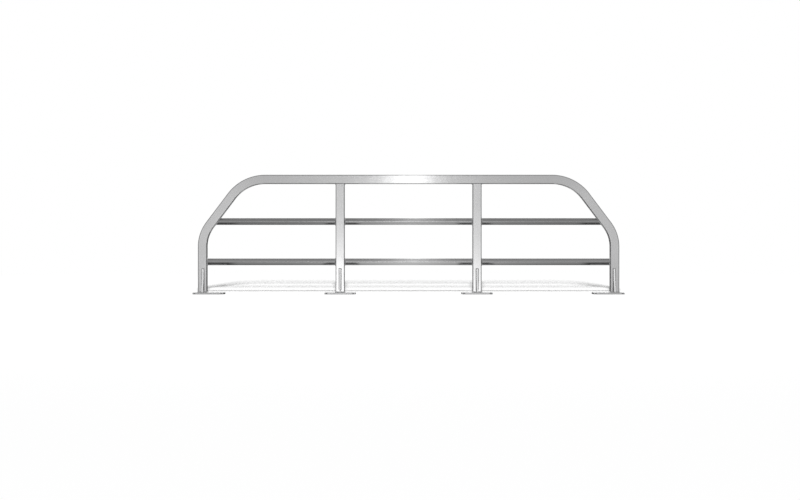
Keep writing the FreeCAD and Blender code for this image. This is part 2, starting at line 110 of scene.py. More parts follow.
class Graph:
    """Short forms for building a node tree. Values are sockets or plain numbers."""

    def __init__(self, tree):
        self.tree = tree
        tree.nodes.clear()

    def node(self, kind, **settings):
        made = self.tree.nodes.new(kind)
        for name, value in settings.items():
            setattr(made, name, value)
        return made

    def plug(self, socket, value):
        if isinstance(value, bpy.types.NodeSocket):
            self.tree.links.new(value, socket)
        else:
            socket.default_value = value

    def math(self, operation, *values):
        made = self.node("ShaderNodeMath", operation=operation)
        for socket, value in zip(made.inputs, values):
            self.plug(socket, value)
        return made.outputs[0]

    def add(self, a, b):
        return self.math("ADD", a, b)

    def sub(self, a, b):
        return self.math("SUBTRACT", a, b)

    def mul(self, first, *others):
        for other in others:
            first = self.math("MULTIPLY", first, other)
        return first

    def abs(self, value):
        return self.math("ABSOLUTE", value)

    def smooth(self, value, low, high, to_low, to_high):
        made = self.node("ShaderNodeMapRange", interpolation_type="SMOOTHSTEP")
        for socket, item in zip(made.inputs[:5], (value, low, high, to_low, to_high)):
            self.plug(socket, item)
        return made.outputs[0]

    def rise(self, value, low, high):
        """0 below low, 1 above high."""
        return self.smooth(value, low, high, 0.0, 1.0)

    def fall(self, value, low, high, top=1.0):
        """top below low, 0 above high."""
        return self.smooth(value, low, high, top, 0.0)

    def bell(self, value, centre, width):
        """exp(-((value - centre) / width)^2)"""
        offset = self.math("DIVIDE", self.sub(value, centre), width)
        return self.math("EXPONENT", self.mul(offset, offset, -1.0))

    def tent(self, value, centre, width):
        """exp(-|value - centre| / width)"""
        return self.math("EXPONENT", self.math("DIVIDE", self.abs(self.sub(value, centre)), -width))

    def brighten(self, light, mask, amount):
        return self.add(light, self.mul(mask, amount))

    def darken(self, light, mask, amount):
        return self.mul(light, self.sub(1.0, self.mul(mask, amount)))

    def about_zero(self, value, amount):
        """A 0 to 1 pattern moved to lie about zero, amount wide."""
        return self.mul(self.sub(value, 0.5), amount)

    def mix(self, factor, a, b):
        made = self.node("ShaderNodeMix", data_type="RGBA")
        self.plug(made.inputs[0], factor)
        self.plug(made.inputs[6], a)
        self.plug(made.inputs[7], b)
        return made.outputs[2]

    def blend(self, factor, a, b):
        """Shader a where factor is 0, shader b where it is 1."""
        made = self.node("ShaderNodeMixShader")
        for socket, value in zip(made.inputs, (factor, a, b)):
            self.plug(socket, value)
        return made.outputs[0]

    def noise(self, vector, scale, detail, rough):
        made = self.node("ShaderNodeTexNoise")
        self.plug(made.inputs["Vector"], vector)
        self.plug(made.inputs["Scale"], scale)
        self.plug(made.inputs["Detail"], detail)
        self.plug(made.inputs["Roughness"], rough)
        return made.outputs[0]

    def scaled(self, vector, x, y, z=1.0):
        made = self.node("ShaderNodeVectorMath", operation="MULTIPLY")
        self.plug(made.inputs[0], vector)
        made.inputs[1].default_value = (x, y, z)
        return made.outputs[0]

    def split(self, vector):
        made = self.node("ShaderNodeSeparateXYZ")
        self.plug(made.inputs[0], vector)
        return made.outputs

    def place(self):
        return self.node("ShaderNodeTexCoord").outputs["Object"]


def grey(value):
    return (value, value, value, 1.0)


def new_material(name):
    material = bpy.data.materials.new(name)
    material.use_nodes = True
    return material, Graph(material.node_tree)


def link_object(name, data):
    made = bpy.data.objects.new(name, data)
    bpy.context.collection.objects.link(made)
    return made


def sheet(name, corners):
    """A flat four-cornered mesh object."""
    mesh = bpy.data.meshes.new(name)
    mesh.from_pydata(corners, [], [(0, 1, 2, 3)])
    return link_object(name, mesh)


# ---- studio ----

# The metal sees a studio that depends only on direction. x, y and z are the parts of a unit vector
# to the right, to the back and up, and the numbers beside them are such parts. -y is the front.

def room_walls(g, x, y, z):
    """Plain grey, a little lighter upwards, dimmer behind, with a pale band along the front wall."""
    ramp = g.node("ShaderNodeValToRGB")
    ramp.color_ramp.interpolation = "EASE"
    ends = ramp.color_ramp.elements
    ends[0].position, ends[1].position = 0.0, 1.0
    ends[0].color, ends[1].color = grey(0.25), grey(0.38)
    for height, level in ((-0.24, 0.31), (0.0, 0.31), (0.36, 0.35)):
        ends.new((height + 1) / 2).color = grey(level)
    g.plug(ramp.inputs[0], g.add(g.mul(z, 0.5), 0.5))
    light = g.mul(ramp.outputs[0], g.smooth(y, 0.0, 0.5, 1.0, 0.78))
    under = g.mul(g.rise(y, 0.0, 0.4), g.fall(z, -0.1, 0.0))
    light = g.darken(light, under, 0.6)
    band = g.mul(g.bell(z, 0.012, 0.06), room_front(g, y), g.add(0.52, g.mul(x, -0.2)))
    return g.add(light, band)


def room_front(g, y):
    """1 straight in front, 0 elsewhere."""
    return g.rise(g.mul(y, -1.0), 0.8, 0.98)


def room_sides(g, light, x, y, z):
    """Beside the rack: at the horizon dark in front and light behind, and lighter above and below it.

    The lowest front corners are dark.
    """
    level = g.mul(g.rise(g.abs(x), 0.2, 0.6), g.bell(z, 0.0, 0.18))
    light = g.darken(light, g.mul(level, g.fall(y, -0.05, 0.02)), 0.8)
    light = g.brighten(light, g.mul(level, g.rise(y, -0.05, 0.02)), 0.4)
    steep = g.mul(g.rise(g.abs(z), 0.12, 0.3), g.rise(y, 0.1, 0.5))
    off_centre = g.math("MAXIMUM", g.rise(g.abs(x), 0.12, 0.22), g.rise(y, 0.75, 0.9))
    light = g.brighten(light, g.mul(steep, off_centre), 0.4)
    low = g.mul(g.rise(g.abs(x), 0.2, 0.4), g.fall(z, -0.3, -0.12), g.fall(y, 0.1, 0.5))
    light = g.brighten(light, low, 0.25)
    corner = g.mul(g.rise(g.abs(x), 0.5, 0.62), g.fall(z, -0.1, 0.0), g.fall(y, -0.3, -0.15))
    return g.darken(light, corner, 0.85)


def room_back(g, light, y, z):
    """A dark horizon straight behind, with a pale screen above it."""
    behind = g.rise(y, 0.93, 0.985)
    light = g.darken(light, g.mul(behind, g.bell(z, 0.0, 0.08)), 0.96)
    screen = g.mul(g.rise(z, 0.035, 0.09), g.fall(z, 0.2, 0.45))
    return g.brighten(light, g.mul(behind, screen), 1.2)


def room_lamps(g, light, x, y, z):
    """Upright strips above and below the horizon, a small lamp in front and a pool of light under it."""
    light = g.brighten(light, g.mul(g.tent(x, 0.0075, 0.007), g.rise(z, 0.07, 0.16)), 1.0)
    light = g.brighten(light, g.mul(g.tent(x, 0.005, 0.03), g.fall(z, -0.08, -0.01)), 0.6)
    centre = 0.0046
    core = g.fall(g.abs(g.sub(x, centre)), 0.0088, 0.0112, 1.4)
    lamp = g.add(g.mul(g.tent(x, centre, 0.0085), 0.8), core)
    light = g.add(light, g.mul(lamp, g.bell(z, 0.045, 0.03), room_front(g, y)))
    pool = g.mul(g.bell(x, -0.004, 0.044), g.bell(z, -0.03, 0.03), room_front(g, y))
    return g.brighten(light, pool, 2.5)


def build_world():
    """White to the camera, soft grey to rough surfaces, and the studio in the metal's reflections."""
    world = bpy.data.worlds.new("studio")
    bpy.context.scene.world = world
    world.use_nodes = True
    world.cycles.sampling_method = "NONE"
    g = Graph(world.node_tree)
    x, y, z = g.split(g.node("ShaderNodeTexCoord").outputs["Generated"])
    light = room_walls(g, x, y, z)
    light = room_sides(g, light, x, y, z)
    light = room_back(g, light, y, z)
    light = room_lamps(g, light, x, y, z)

    path = g.node("ShaderNodeLightPath")
    colour = g.mix(path.outputs["Is Diffuse Ray"], light, grey(SKY))
    colour = g.mix(path.outputs["Is Camera Ray"], colour, grey(1.0))
    shade = g.node("ShaderNodeBackground")
    g.plug(shade.inputs[0], colour)
    g.plug(g.node("ShaderNodeOutputWorld").inputs[0], shade.outputs[0])


def feet_patches(g, where):
    """1 round each foot and in front of and behind it, 0 elsewhere."""
    x, y, _ = g.split(where)
    shade = 0.0
    for name in LEGS:
        low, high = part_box(f"base_plate_{name}")
        aside = g.abs(g.sub(x, (low.x + high.x) / 2))
        reach = 0.115 if name.endswith("leg") else 0.09
        shade = g.math("MAXIMUM", shade, g.fall(aside, 0.05, reach))
    return g.mul(shade, g.fall(g.abs(y), 0.22, 0.36))


def build_floor():
    """A wide pale floor that brightens into the white background away from the rack.

    The metal sees only a soft shade round the feet in place of the paper.
    """
    corners = [(i * FLOOR_HALF, j * FLOOR_HALF, 0) for i, j in ((-1, -1), (1, -1), (1, 1), (-1, 1))]
    floor = sheet("floor", corners)
    floor.location.z = -FLOOR_DROP
    material, g = new_material("floor_paper")
    where = g.place()
    away = g.node("ShaderNodeVectorMath", operation="LENGTH")
    g.plug(away.inputs[0], where)
    far = g.rise(away.outputs["Value"], *FLOOR_FADE)
    paper = g.node("ShaderNodeBsdfDiffuse")
    grain = g.noise(where, 350.0, 3.0, 0.6)
    g.plug(paper.inputs["Color"], g.mix(grain, grey(0.78), grey(0.80)))
    glow = g.node("ShaderNodeEmission")
    glow.inputs["Color"].default_value = grey(1.0)
    seen = g.blend(far, paper.outputs[0], glow.outputs[0])

    clear = g.node("ShaderNodeBsdfTransparent")
    g.plug(clear.inputs[0], g.mix(feet_patches(g, where), grey(1.0), grey(FEET_SHADE)))
    glossy = g.node("ShaderNodeLightPath").outputs["Is Glossy Ray"]
    g.plug(g.node("ShaderNodeOutputMaterial").inputs[0], g.blend(glossy, seen, clear.outputs[0]))
    floor.data.materials.append(material)


def build_key():
    """A softbox in front of the rack that lights the floor evenly, near and far.

    Its light doesn't fade with distance but grows with it, which makes up for the floor's slant. It
    stands over the camera, so that in the main view the uprights hide their own shadows.
    """
    lamp = bpy.data.lights.new("key", "AREA")
    lamp.shape = "ELLIPSE"
    lamp.size, lamp.size_y = KEY_SIZE
    lamp.energy = 1.0
    lamp.use_nodes = True
    g = Graph(lamp.node_tree)
    even = g.node("ShaderNodeLightFalloff")
    even.inputs["Strength"].default_value = KEY
    growth = g.math("DIVIDE", g.node("ShaderNodeLightPath").outputs["Ray Length"], KEY_REACH)
    glow = g.node("ShaderNodeEmission")
    g.plug(glow.inputs["Strength"], g.mul(even.outputs["Constant"], growth))
    g.plug(g.node("ShaderNodeOutputLight").inputs[0], glow.outputs[0])
    key = link_object("key", lamp)
    key.location = KEY_PLACE
    key.rotation_euler = (KEY_AIM - KEY_PLACE).to_track_quat("-Z", "Y").to_euler()
    key.visible_camera = False
    key.visible_glossy = False


def build_flag():
    """A black flag far behind the middle, seen only in reflections, which darkens the inboard sides."""
    corners = [(0, FLAG_START, 0), (0, FLAG_END, 0), (0, FLAG_END, FLAG_TOP), (0, FLAG_START, FLAG_TOP)]
    flag = sheet("flag", corners)
    material, g = new_material("flag_cloth")
    cloth = g.node("ShaderNodeBsdfDiffuse")
    weave = g.noise(g.place(), 600.0, 2.0, 0.5)
    g.plug(cloth.inputs["Color"], g.mix(weave, grey(0.02), grey(0.04)))
    g.plug(g.node("ShaderNodeOutputMaterial").inputs[0], cloth.outputs[0])
    flag.data.materials.append(material)
    flag.visible_camera = False
    flag.visible_diffuse = False
    flag.visible_shadow = False


def build_camera():
    camera = link_object("camera", bpy.data.cameras.new("camera"))
    camera.data.lens = CAMERA_LENS
    camera.data.sensor_width = 36.0
    camera.data.clip_end = 200.0
    camera.location = CAMERA_PLACE
    camera.rotation_euler = (PI / 2, 0, 0)
    bpy.context.scene.camera = camera


# ---- materials ----

def build_steel(name, shade, rough, anisotropy, metal=1.0, sides=1.0):
    """Polished stainless steel. The grain runs along V of the piece's own UVs, in metres.

    sides scales the colour of the faces that look along X: painted shade that darkens the gussets' sides.
    Patterns are 0 to 1. Their scales are per metre: across the grain first, then along it.
    """
    material, g = new_material(name)
    run = g.node("ShaderNodeUVMap", uv_map="grain").outputs[0]
    place = g.place()
    lines = g.noise(g.scaled(run, 2600.0, 14.0), 1.0, 3.0, 0.6)
    bands = g.noise(g.scaled(run, 260.0, 2.2), 1.0, 2.0, 0.5)
    hairlines = g.rise(g.noise(g.scaled(run, 1500.0, 5.0), 1.0, 1.0, 0.5), 0.66, 0.74)
    cloud = g.noise(place, 9.0, 3.0, 0.55)
    wave = g.noise(place, 26.0, 1.0, 0.4)
    wiped = g.rise(g.noise(g.scaled(place, 1.0, 1.0, 0.35), 38.0, 4.0, 0.65), 0.52, 0.72)

    level = g.add(g.about_zero(bands, 0.05), g.about_zero(cloud, 0.06))
    level = g.add(g.add(level, g.about_zero(lines, 0.08)), 1.0)
    # Painted shade: faces that look along X get a darker colour.
    if sides != 1.0:
        facing = g.split(g.node("ShaderNodeTexCoord").outputs["Normal"])[0]
        level = g.mul(level, g.smooth(g.abs(facing), 0.6, 0.95, 1.0, sides))
    colour = g.node("ShaderNodeVectorMath", operation="SCALE")
    colour.inputs[0].default_value = (shade, shade, shade * STEEL_BLUE)
    g.plug(colour.inputs["Scale"], level)

    gloss = g.add(rough, g.about_zero(cloud, 0.05))
    gloss = g.add(gloss, g.about_zero(lines, 0.04))
    gloss = g.brighten(gloss, wiped, 0.025)
    gloss = g.brighten(gloss, hairlines, 0.07)
    gloss = g.math("MAXIMUM", gloss, 0.03)

    height = g.add(g.mul(lines, 0.0035 * MM), g.mul(wave, 0.02 * MM))
    height = g.sub(height, g.mul(hairlines, 0.002 * MM))
    bump = g.node("ShaderNodeBump")
    bump.inputs["Strength"].default_value = 1.0
    bump.inputs["Distance"].default_value = 1.0
    g.plug(bump.inputs["Height"], height)

    shader = g.node("ShaderNodeBsdfPrincipled")
    shader.inputs["Metallic"].default_value = metal
    shader.inputs["Anisotropic"].default_value = anisotropy
    g.plug(shader.inputs["Base Color"], colour.outputs[0])
    g.plug(shader.inputs["Roughness"], gloss)
    g.plug(shader.inputs["Normal"], bump.outputs[0])
    tangent = g.node("ShaderNodeTangent", direction_type="UV_MAP", uv_map="grain")
    g.plug(shader.inputs["Tangent"], tangent.outputs[0])
    g.plug(g.node("ShaderNodeOutputMaterial").inputs[0], shader.outputs[0])
    return material


# ---- meshes ----

def finish_piece(name, mesh, material, slot, *nodes):
    piece = link_object(name, mesh)
    mesh.materials.clear()
    mesh.materials.append(material)
    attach(piece, "root")
    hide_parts(*nodes)


def square_section(half, corner, steps=7, flats=4):
    """Points round a square with round corners: (side, out, normal side, normal out, run)."""
    points = []
    run = 0.0
    flat = 2 * (half - corner)
    centre = half - corner
    for quarter in range(4):
        turn = quarter * PI / 2
        c, s = math.cos(turn), math.sin(turn)
        local = [(half, -flat / 2 + flat * i / flats, 1.0, 0.0) for i in range(flats)]
        lengths = [flat / flats] * flats
        for i in range(steps):
            angle = PI / 2 * i / steps
            na, nb = math.cos(angle), math.sin(angle)
            local.append((centre + corner * na, centre + corner * nb, na, nb))
            lengths.append(corner * PI / 2 / steps)
        for (a, b, na, nb), length in zip(local, lengths):
            points.append((a * c - b * s, a * s + b * c, na * c - nb * s, na * s + nb * c, run))
            run += length
    return points, run


def round_section(radius, steps=48):
    points = []
    for i in range(steps):
        angle = 2 * PI * i / steps
        points.append((radius * math.cos(angle), radius * math.sin(angle),
                       math.cos(angle), math.sin(angle), radius * angle))
    return points, 2 * PI * radius


class Skin:
    """Collects the grid surfaces of one piece: points, faces, normals and UVs."""

    def __init__(self):
        self.points, self.normals, self.faces, self.uvs = [], [], [], []

    def grid(self, rows, wrap):
        """rows holds lists of (point, normal, u, v), and wrap is the U that closes each row."""
        count = len(rows[0])
        start = len(self.points)
        for row in rows:
            for point, normal, _, _ in row:
                self.points.append(point)
                self.normals.append(normal)
        across = rows[0][1][0] - rows[0][0][0]
        ahead = rows[1][0][0] - rows[0][0][0]
        turned = across.cross(ahead).dot(rows[0][0][1]) < 0
        for i in range(len(rows) - 1):
            for j in range(count):
                k = (j + 1) % count
                face = [start + i * count + j, start + i * count + k,
                        start + (i + 1) * count + k, start + (i + 1) * count + j]
                u, u_next = rows[i][j][2], wrap if k == 0 else rows[i][k][2]
                v, v_next = rows[i][j][3], rows[i + 1][j][3]
                cell = [(u, v), (u_next, v), (u_next, v_next), (u, v_next)]
                if turned:
                    face.reverse()
                    cell.reverse()
                self.faces.append(face)
                self.uvs += cell

    def mesh(self, name):
        mesh = bpy.data.meshes.new(name)
        mesh.from_pydata(self.points, [], self.faces)
        layer = mesh.uv_layers.new(name="grain")
        layer.data.foreach_set("uv", np.array(self.uvs, np.float32).ravel())
        mesh.shade_smooth()
        mesh.normals_split_custom_set_from_vertices([tuple(n) for n in self.normals])
        return mesh


def sweep_tube(name, path, outer, inner):
    """A hollow tube along path: a list of (centre, side axis, out axis, along, run)."""
    skin = Skin()
    for (section, total), sign in ((outer, 1.0), (inner, -1.0)):
        rows = []
        for centre, side, out, _, run in path:
            rows.append([(centre + side * a + out * b, (side * na + out * nb) * sign, u, run)
                         for a, b, na, nb, u in section])
        skin.grid(rows, total)
    for end, facing in ((0, -1.0), (-1, 1.0)):
        centre, side, out, along, run = path[end]
        rows = [[(centre + side * a + out * b, along * facing, u, run) for a, b, _, _, u in section]
                for section, _ in (outer, inner)]
        skin.grid(rows, outer[1])
    return skin.mesh(name)


def hoop_half(low, high, half):
    """The right half of the hoop's centreline, foot to crown: a list of (point, out, along)."""
    leg = high.x - half
    top = high.z - half
    knee = Vector((leg - KNEE_BEND, 0, KNEE_HEIGHT))
    bend_start = top - SHOULDER_BEND * (1 - math.sin(LEAN))
    rise = bend_start - (KNEE_HEIGHT + KNEE_BEND * math.sin(LEAN))
    lean_end = Vector((knee.x + KNEE_BEND * math.cos(LEAN) - rise * math.tan(LEAN), 0, bend_start))
    shoulder = lean_end - SHOULDER_BEND * Vector((math.cos(LEAN), 0, math.sin(LEAN)))
    stops = []

    def stop(point, angle):
        along = Vector((-math.sin(angle), 0, math.cos(angle)))
        out = Vector((math.cos(angle), 0, math.sin(angle)))
        stops.append((point, out, along))

    def bend(centre, radius, angle):
        stop(centre + radius * Vector((math.cos(angle), 0, math.sin(angle))), angle)

    for i in range(LEG_STEPS + 1):
        stop(Vector((leg, 0, low.z + (KNEE_HEIGHT - low.z) * i / LEG_STEPS)), 0.0)
    for i in range(1, KNEE_STEPS + 1):
        bend(knee, KNEE_BEND, LEAN * i / KNEE_STEPS)
    lean_start = stops[-1][0]
    for i in range(1, LEAN_STEPS):
        stop(lean_start.lerp(lean_end, i / LEAN_STEPS), LEAN)
    for i in range(SHOULDER_STEPS + 1):
        bend(shoulder, SHOULDER_BEND, LEAN + (PI / 2 - LEAN) * i / SHOULDER_STEPS)
    crown_start = stops[-1][0]
    for i in range(1, TOP_STEPS + 1):
        stop(Vector((crown_start.x * (1 - i / TOP_STEPS), 0, top)), PI / 2)
    return stops


def hoop_path(half):
    """The hoop's centreline from the foot of the right leg over the top to the left foot."""
    right = hoop_half(*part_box("hoop"), half)
    left = [(Vector((-p.x, 0, p.z)), Vector((-o.x, 0, o.z)), Vector((a.x, 0, -a.z)))
            for p, o, a in right[-2::-1]]
    stops = right + left
    path = []
    run = 0.0
    for i, (point, out, along) in enumerate(stops):
        if i:
            run += (point - stops[i - 1][0]).length
        path.append((point, Vector((0, 1, 0)), out, along, run))
    return path


def upright_path(low, high):
    """Stops up the middle of an upright's box."""
    middle = (low + high) / 2
    length = high.z - low.z
    side, out, along = Vector((0, 1, 0)), Vector((1, 0, 0)), Vector((0, 0, 1))
    return [(Vector((middle.x, middle.y, low.z + length * i / UPRIGHT_STEPS)), side, out, along,
             length * i / UPRIGHT_STEPS) for i in range(UPRIGHT_STEPS + 1)]


def build_tubes(steel):
    low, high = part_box("hoop")
    half = (high.y - low.y) / 2
    sections = (square_section(half, TUBE_CORNER),
                square_section(half - TUBE_WALL, TUBE_CORNER - TUBE_WALL))
    mesh = sweep_tube("hoop_tube", hoop_path(half), *sections)
    finish_piece("hoop_tube", mesh, steel, "polished_tube", "hoop")
    for side in ("left", "right"):
        mesh = sweep_tube(f"tube_{side}", upright_path(*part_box(f"upright_{side}")), *sections)
        finish_piece(f"upright_{side}_tube", mesh, steel, "polished_tube", f"upright_{side}")


def rail_mesh(node, mitre):
    """A hollow round tube that fills its box.

    mitre is the end cut to the hoop's lean: -1 for the left, 1 for the right, 0 for neither.
    """
    low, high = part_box(node)
    radius = (high.z - low.z) / 2
    middle = (low + high) / 2
    outer, inner = round_section(radius), round_section(radius - RAIL_WALL)
    skin = Skin()

    def stop(i, a, b):
        cut = (radius + b) * math.tan(LEAN)
        start = low.x + (cut if mitre < 0 else 0.0)
        end = high.x - (cut if mitre > 0 else 0.0)
        return Vector((start + (end - start) * i / RAIL_STEPS, middle.y + a, middle.z + b))

    for (section, total), sign in ((outer, 1.0), (inner, -1.0)):
        rows = []
        for i in range(RAIL_STEPS + 1):
            row = []
            for a, b, na, nb, u in section:
                point = stop(i, a, b)
                row.append((point, Vector((0, na, nb)) * sign, u, point.x))
            rows.append(row)
        skin.grid(rows, total)
    for i, facing in ((0, -1.0), (RAIL_STEPS, 1.0)):
        rows = [[(stop(i, a, b), Vector((facing, 0, 0)), u, 0.0) for a, b, _, _, u in section]
                for section, _ in (outer, inner)]
        skin.grid(rows, outer[1])
    return skin.mesh(node)


def build_rails(steels):
    for level in ("mid", "low"):
        for place, outboard in (("left", -1), ("centre", 0), ("right", 1)):
            node = f"{level}_rail_{place}"
            mesh = rail_mesh(node, outboard if level == "mid" else 0)
            finish_piece(f"{node}_tube", mesh, steels[level], "polished_rail", node)


def slab(name, outlines, thickness, place):
    """A flat plate with eased edges from closed outlines, turned into the frame by a matrix.

    The first outline is the outside and runs anticlockwise; the others are holes and run clockwise.
    """
    curve = bpy.data.curves.new(name, "CURVE")
    curve.dimensions = "2D"
    curve.fill_mode = "BOTH"
    curve.extrude = thickness / 2 - EDGE
    curve.bevel_depth = EDGE
    curve.bevel_resolution = 2
    curve.offset = -EDGE
    for outline in outlines:
        spline = curve.splines.new("POLY")
        spline.points.add(len(outline) - 1)
        for corner, (a, b) in zip(spline.points, outline):
            corner.co = (a, b, 0, 1)
        spline.use_cyclic_u = True
    holder = link_object(name, curve)
    mesh = bpy.data.meshes.new_from_object(holder)
    bpy.data.objects.remove(holder)
    mesh.transform(place)
    work = bmesh.new()
    work.from_mesh(mesh)
    bmesh.ops.remove_doubles(work, verts=work.verts, dist=0.01 * MM)
    bmesh.ops.recalc_face_normals(work, faces=work.faces)
    work.to_mesh(mesh)
    work.free()
    return mesh


def weigh_normals(mesh):
    """Large flat faces stay flat and the eased edges blend into them."""
    mesh.shade_smooth()
    normals = np.zeros((len(mesh.vertices), 3))
    for face in mesh.polygons:
        for corner in face.vertices:
            normals[corner] += np.array(face.normal) * face.area
    normals /= np.linalg.norm(normals, axis=1)[:, None]
    mesh.normals_split_custom_set_from_vertices(normals.tolist())


def box_uvs(mesh, grain_axes):
    """UVs in metres. grain_axes gives, for faces across X, Y and Z, the axis their grain follows."""
    layer = mesh.uv_layers.new(name="grain")
    for face in mesh.polygons:
        across = max(range(3), key=lambda axis: abs(face.normal[axis]))
        along = grain_axes[across]
        other = 3 - across - along
        for loop in face.loop_indices:
            point = mesh.vertices[mesh.loops[loop].vertex_index].co
            layer.data[loop].uv = (point[other], point[along])


def clockwise_ring(radius, centre):
    angles = [-2 * PI * i / HOLE_STEPS for i in range(HOLE_STEPS)]
    return [(centre[0] + radius * math.cos(t), centre[1] + radius * math.sin(t)) for t in angles]


def build_plates(steel):
    for name in LEGS:
        node = f"base_plate_{name}"
        low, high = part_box(node)
        half = (high.x - low.x) / 2
        section = square_section(half, PLATE_CORNER, steps=12, flats=1)[0]
        outline = [(a, b) for a, b, _, _, _ in section]
        reach = BOLT_SPACING / 2
        holes = [clockwise_ring(BOLT_HOLE / 2, (i * reach, j * reach))
                 for i in (-1, 1) for j in (-1, 1)]
        place = Matrix.Translation((low + high) / 2)
        mesh = slab(node, [outline] + holes, high.z - low.z, place)
        weigh_normals(mesh)
        box_uvs(mesh, (1, 0, 0))
        finish_piece(f"{node}_slab", mesh, steel, "polished_plate", node)


def gusset_outline(reach, height):
    """Forward of the tube and up from the plate, anticlockwise, with a hollow front edge."""
    toe = Vector((-reach, GUSSET_LIP))
    crown = Vector((-GUSSET_CREST, height))
    chord = crown - toe
    away = Vector((-chord.y, chord.x)).normalized()
    centre = (toe + crown) / 2 + away * math.sqrt(GUSSET_HOLLOW ** 2 - chord.length_squared / 4)
    first = math.atan2(toe.y - centre.y, toe.x - centre.x)
    last = math.atan2(crown.y - centre.y, crown.x - centre.x)
    hollow = []
    for i in range(HOLLOW_STEPS + 1):
        angle = first + (last - first) * i / HOLLOW_STEPS
        hollow.append((centre.x + GUSSET_HOLLOW * math.cos(angle),
                       centre.y + GUSSET_HOLLOW * math.sin(angle)))
    points = [(-reach, 0.0)] + hollow + [(0.0, height), (0.0, GUSSET_SNIPE), (-GUSSET_SNIPE, 0.0)]
    return points[::-1]


def build_gussets(steel):
    for name in LEGS:
        node = f"gusset_{name}"
        low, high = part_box(node)
        outline = gusset_outline(high.y - low.y, high.z - low.z)
        place = Matrix((
            (0, 0, 1, (low.x + high.x) / 2),
            (1, 0, 0, high.y),
            (0, 1, 0, low.z),
            (0, 0, 0, 1),
        ))
        mesh = slab(node, [outline], high.x - low.x, place)
        weigh_normals(mesh)
        box_uvs(mesh, (2, 2, 1))
        finish_piece(f"{node}_web", mesh, steel, "polished_plate", node)


class Beads:
    """Collects rippled fillet weld beads into one mesh.

    A stop along a bead is (corner, out, up): the corner line between the two joined surfaces, and
    the directions that lead away from it in each surface. Each stop becomes a ring of points: the
    corner, then the bead's face from foot to wall.
    """

    RIPPLE = 2.1 * MM
    FINE = 6
    FACE = 8
    RING = FACE + 2
    SWELL = 0.10
    TILT = 0.10
    WIDEST = 1.12
    CROWN = 0.10
    RIPPLE_RISE = 0.055
    RIPPLE_BOW = 0.42

    def __init__(self):
        self.points, self.faces, self.uvs = [], [], []

    def spread(self, stops, leg, closed):
        """Evenly spaced stops, a whole number of them to each ripple, with their run and phase."""
        if closed:
            stops = stops + stops[:1]
        middles = [corner + (out + up) * (leg / 2) for corner, out, up in stops]
        runs = [0.0]
        for near, far in zip(middles, middles[1:]):
            runs.append(runs[-1] + (far - near).length)
        count = round(runs[-1] / self.RIPPLE) * self.FINE
        made = []
        k = 0
        for i in range(count if closed else count + 1):
            run = runs[-1] * i / count
            while k < len(runs) - 2 and runs[k + 1] < run:
                k += 1
            t = (run - runs[k]) / max(runs[k + 1] - runs[k], 1e-9)
            made.append(tuple(a.lerp(b, t) for a, b in zip(stops[k], stops[k + 1])) + (run, i / self.FINE))
        return made, runs[-1]

    def ring(self, corner, foot, wall, bulge, phase):
        """The points of one stop: a raised face whose ripples bow along the bead."""
        points = [corner]
        for j in range(self.FACE + 1):
            t = j / self.FACE
            arch = 4 * t * (1 - t)
            crest = abs(math.sin(PI * (phase - self.RIPPLE_BOW * arch))) ** 0.8
            rise = self.CROWN * arch + self.RIPPLE_RISE * (crest - 0.4) * arch ** 0.6
            points.append(corner + foot * (1 - t) + wall * t + bulge * rise)
        return points

    def add(self, stops, leg, closed, thin=lambda out: 1.0):
        """A bead along the stops. thin gives the share of its foot that a direction leaves room for."""
        stops, total = self.spread(stops, leg, closed)
        start = len(self.points)
        wander = Vector((random.uniform(0, 50), random.uniform(0, 50), random.uniform(0, 50)))
        for corner, out, up, run, phase in stops:
            swell = 1.0 + self.SWELL * noise.noise(wander + corner * 160)
            tilt = self.TILT * noise.noise(wander + corner * 120 + Vector((9, 0, 0)))
            if not closed:
                ends = min(run, total - run) / (1.1 * leg)
                swell *= math.sqrt(min(1.0, 0.12 + ends * (2 - min(ends, 1.0))))
            foot = out * (leg * min(swell * (1 + tilt), self.WIDEST) * thin(out))
            wall = up * (leg * min(swell * (1 - tilt), self.WIDEST))
            bulge = (out.normalized() + up).normalized() * (leg * swell)
            self.points += self.ring(corner, foot, wall, bulge, phase)
        forward = self.runs_forward(stops, leg)
        self.cover(start, stops, total, leg, closed, not forward)
        if not closed:
            self.cap(start, stops[0][3], forward)
            self.cap(start + (len(stops) - 1) * self.RING, stops[-1][3], not forward)

    def runs_forward(self, stops, leg):
        """Whether a bead runs the way that out cross up points, which its faces must turn with."""
        (corner, out, up), (next_corner, next_out, next_up) = stops[0][:3], stops[1][:3]
        ahead = next_corner + (next_out + next_up) * leg - corner - (out + up) * leg
        return out.cross(up).dot(ahead) > 0

    def face(self, corners, cell, turned):
        if turned:
            corners.reverse()
            cell.reverse()
        self.faces.append(corners)
        self.uvs += cell

    def cover(self, start, stops, total, leg, closed, turned):
        """Faces between one ring and the next."""
        sides = [0.0, leg] + [leg + leg * 1.5 * (j + 1) / self.FACE for j in range(self.FACE)]
        rings = len(stops)
        for i in range(rings if closed else rings - 1):
            k = (i + 1) % rings
            v, v_next = stops[i][3], total if k == 0 else stops[k][3]
            near, far = start + i * self.RING, start + k * self.RING
            for j in range(self.RING):
                n = (j + 1) % self.RING
                u, u_next = sides[j], sides[n] if n else sides[-1] + leg
                cell = [(u, v), (u_next, v), (u_next, v_next), (u, v_next)]
                self.face([near + j, near + n, far + n, far + j], cell, turned)

    def cap(self, first, run, turned):
        """One face over the ring of points that starts at first."""
        cell = [(MM * j, run) for j in range(self.RING)]
        self.face([first + j for j in range(self.RING)], cell, turned)

    def mesh(self, name):
        mesh = bpy.data.meshes.new(name)
        mesh.from_pydata(self.points, [], self.faces)
        layer = mesh.uv_layers.new(name="grain")
        layer.data.foreach_set("uv", np.array(self.uvs, np.float32).ravel())
        mesh.shade_smooth()
        mesh.set_sharp_from_angle(angle=math.radians(55))
        return mesh


